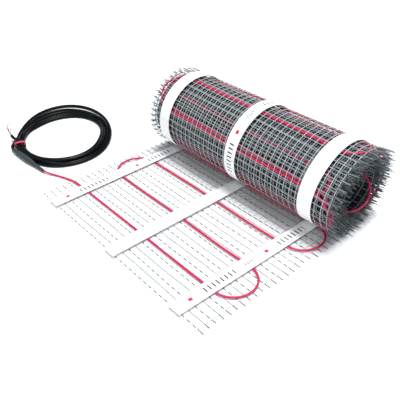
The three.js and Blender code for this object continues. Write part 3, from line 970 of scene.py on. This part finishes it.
# Painted shade: the gaps of the deep turns are near-black and their net lines a dark grey.
hollow_shade = core_finish.mix(core_finish.noise(90.0, 4.0), rgb("0b0d0e"), rgb("2a3032"))
core_finish.set("Base Color", core_finish.mix(net_line * 0.9, hollow_shade, rgb("666e70")))
core_finish.bump(core_finish.noise(160.0, 4.0), 0.002)
CORE_SHADED = core_finish.material
print("the core reaches from", CORE_INNER, "to", CORE_OUTER, "mm")


# %% The core as a ring
def core_ring():
    """A tube about the roll's axis with a rectangular wall, closed round on itself."""
    turn = 2 * np.pi * np.arange(CORE_STEPS) / CORE_STEPS
    inner, outer = [-CORE_HALF, CORE_INNER], [-CORE_HALF, CORE_OUTER]
    corners = np.array([inner, outer, [CORE_HALF, CORE_OUTER], [CORE_HALF, CORE_INNER]])
    x = SIDE_LEAN + corners[:, 0] + ROLL_LEAN * (1 - np.cos(turn)[:, None]) / 2
    y = FLAT_LENGTH + corners[:, 1] * np.sin(turn)[:, None]
    z = ROLL_RADIUS - corners[:, 1] * np.cos(turn)[:, None]
    ring, side = np.meshgrid(np.arange(CORE_STEPS), np.arange(4), indexing="ij")
    a, b = ring * 4 + side, ring * 4 + (side + 1) % 4
    next_ring = (ring + 1) % CORE_STEPS * 4
    c, d = next_ring + (side + 1) % 4, next_ring + side
    faces = np.stack([a, b, c, d], -1).reshape(-1, 4)
    return np.stack([x, y, z], -1).reshape(-1, 3), faces, np.zeros((CORE_STEPS * 4, 2))


core = make_piece("rolled_core", "rolled_net", CORE_SHADED, *core_ring(), smooth=False)
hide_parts("rolled_mat")

# %% [markdown]
# ### The yarn ends of the roll
# At both ends of the roll the cut ends of the cross yarns stand out like a brush. Particle hair
# could do that, but it wouldn't export. Here each end is a slim tapering prism, and all of them are
# worked out as one array: a thick strand and two thin hairs to a yarn.

# %% Finish of the yarn ends
brush_finish = Finish("yarn_ends", Roughness=0.8, Specular_IOR_Level=0.2)
brush_finish.set("Base Color", brush_finish.mix(brush_finish.tone(), rgb("23272a"), rgb("9aa0a4")))
BRUSH_GREY = brush_finish.material
print("finish of the brush:", BRUSH_GREY.name)

# %% Brush of yarn ends
BRUSH_TURNS = 9
BRUSH_COUNT = 38
BRUSH_OUTER = 86.0
BRUSH_STEP = 5.0
BRUSH_RINGS = 5
BRUSH_SIDES = 4
LONG_STRAND = {-1: 9.0, 1: 20.0}
SHORT_STRAND = {-1: 7.0, 1: 14.0}
STRANDS = 3
THICK_RADIUS = 0.8
THIN_RADIUS = 0.45
TURN_SHIFT = 0.13
SPREAD = (2.0, 1.0)
LOWEST = 1.2


def brush(end):
    """Yarn ends at one end of the roll. Every turn of the spiral carries one thick straight strand at
    each cross yarn, and two thin hairs beside it. A strand goes outwards along the roll's axis and
    spreads away from it by its length to the power 1.5."""
    starts = []
    for turn in range(BRUSH_TURNS):
        radius = BRUSH_OUTER - BRUSH_STEP * turn
        angle = 2 * np.pi * (np.arange(BRUSH_COUNT) + TURN_SHIFT * turn) / BRUSH_COUNT
        longest = LONG_STRAND[end] if turn == 0 else SHORT_STRAND[end]
        columns = [angle, np.full(BRUSH_COUNT, radius), np.full(BRUSH_COUNT, longest)]
        starts.append(np.column_stack(columns))
    starts = np.repeat(np.vstack(starts), STRANDS, 0)
    n = len(starts)
    thick = np.arange(n) % STRANDS == 0
    loose = np.where(thick, 0.3, 1.0)[:, None]
    t = np.linspace(0, 1, BRUSH_RINGS)
    angle = starts[:, :1] + loose * random.normal(0, 0.025, (n, 1)) * (0.4 + t)
    radius = starts[:, 1:2] + loose * random.normal(0, 1.2, (n, 1))
    radius = radius + random.normal(*SPREAD, (n, 1)) * t**1.5
    length = starts[:, 2:] * random.uniform(0.8, 1.1, (n, 1))
    root = NET_WIDTH / 2 - 4
    x = SIDE_LEAN + ROLL_LEAN * (1 - np.cos(angle)) / 2 + end * (root + (length + 4) * t)
    y = FLAT_LENGTH + radius * np.sin(angle)
    z = np.maximum(ROLL_RADIUS - radius * np.cos(angle), LOWEST)
    centres = np.stack([x, y, z], -1)
    size = np.where(thick, THICK_RADIUS, THIN_RADIUS)[:, None] * (1 - 0.6 * t**2)
    section = oval_section(2, 2, BRUSH_SIDES)
    ring = np.zeros((n, BRUSH_RINGS, BRUSH_SIDES, 3))
    ring[..., 1] = section[:, 0]
    ring[..., 2] = section[:, 1]
    points = centres[:, :, None] + ring * size[:, :, None, None]
    # Painted shade: strands nearer the bore get a darker tone, with a random spread on top.
    light = 0.22 + 0.5 * (starts[:, 1] - BORE_RADIUS) / (ROLL_RADIUS - BORE_RADIUS)
    tone = np.repeat(np.clip(random.normal(light, 0.22), 0, 1), BRUSH_RINGS * BRUSH_SIDES)
    faces = sweep_faces(n, BRUSH_RINGS, BRUSH_SIDES)
    return (points.reshape(-1, 3), faces, np.zeros((len(tone), 2))), tone


for name, end in (("left", -1), ("right", 1)):
    surface, tone = brush(end)
    make_piece(f"yarn_ends_{name}", "rolled_net", BRUSH_GREY, *surface, tone=tone)

# %% [markdown]
# ## Floor and light
# The floor is plain and nearly white, as on a product sheet. A soft sun stands almost straight
# above, so the roll shades only what lies under its own curve. A bluish surround and a low lamp in
# front fill the shade.

# %% The floor
floor_finish = Finish("floor", Roughness=0.6, Specular_IOR_Level=0.2)
floor_finish.set("Base Color", (0.93, 0.935, 0.94, 1.0))
bpy.ops.mesh.primitive_plane_add(size=12.0, location=(0, 0, -0.0002))
floor = bpy.context.object
floor.name = "floor"
print("the floor is", round(floor.dimensions.x, 1), "metres wide")
floor.data.materials.append(floor_finish.material)

# %% The light
world = bpy.data.worlds.new("surround")
bpy.context.scene.world = world
world.use_nodes = True
sky = world.node_tree.nodes["Background"]
sky.inputs["Color"].default_value = (0.84, 0.93, 1.0, 1.0)
sky.inputs["Strength"].default_value = 0.38


def add_lamp(name, kind, place, aim, spread, power):
    """A lamp that faces a point. spread is the width of an area lamp, or the angle of a sun."""
    data = bpy.data.lights.new(name, kind)
    if kind == "SUN":
        data.angle = spread
    else:
        data.size = spread
    data.energy = power
    lamp = bpy.data.objects.new(name, data)
    bpy.context.scene.collection.objects.link(lamp)
    away = np.array(place, float) - aim
    away /= np.linalg.norm(away)
    right = np.cross([0, 0, 1.0], away)
    right /= np.linalg.norm(right)
    matrix = np.eye(4)
    matrix[:3, :3] = np.stack([right, np.cross(away, right), away], 1)
    matrix[:3, 3] = place
    lamp.matrix_world = Matrix(matrix.tolist())


AIM = (0, 0.05, 0.05)
add_lamp("high_sun", "SUN", (0.1, 0.25, 1.8), AIM, math.radians(24), 3.6)
add_lamp("front_lamp", "AREA", (0.5, -1.6, 0.55), AIM, 1.0, 7.0)
print("lamps:", [lamp.name for lamp in bpy.data.lights])
bpy.context.scene.view_settings.view_transform = "Standard"
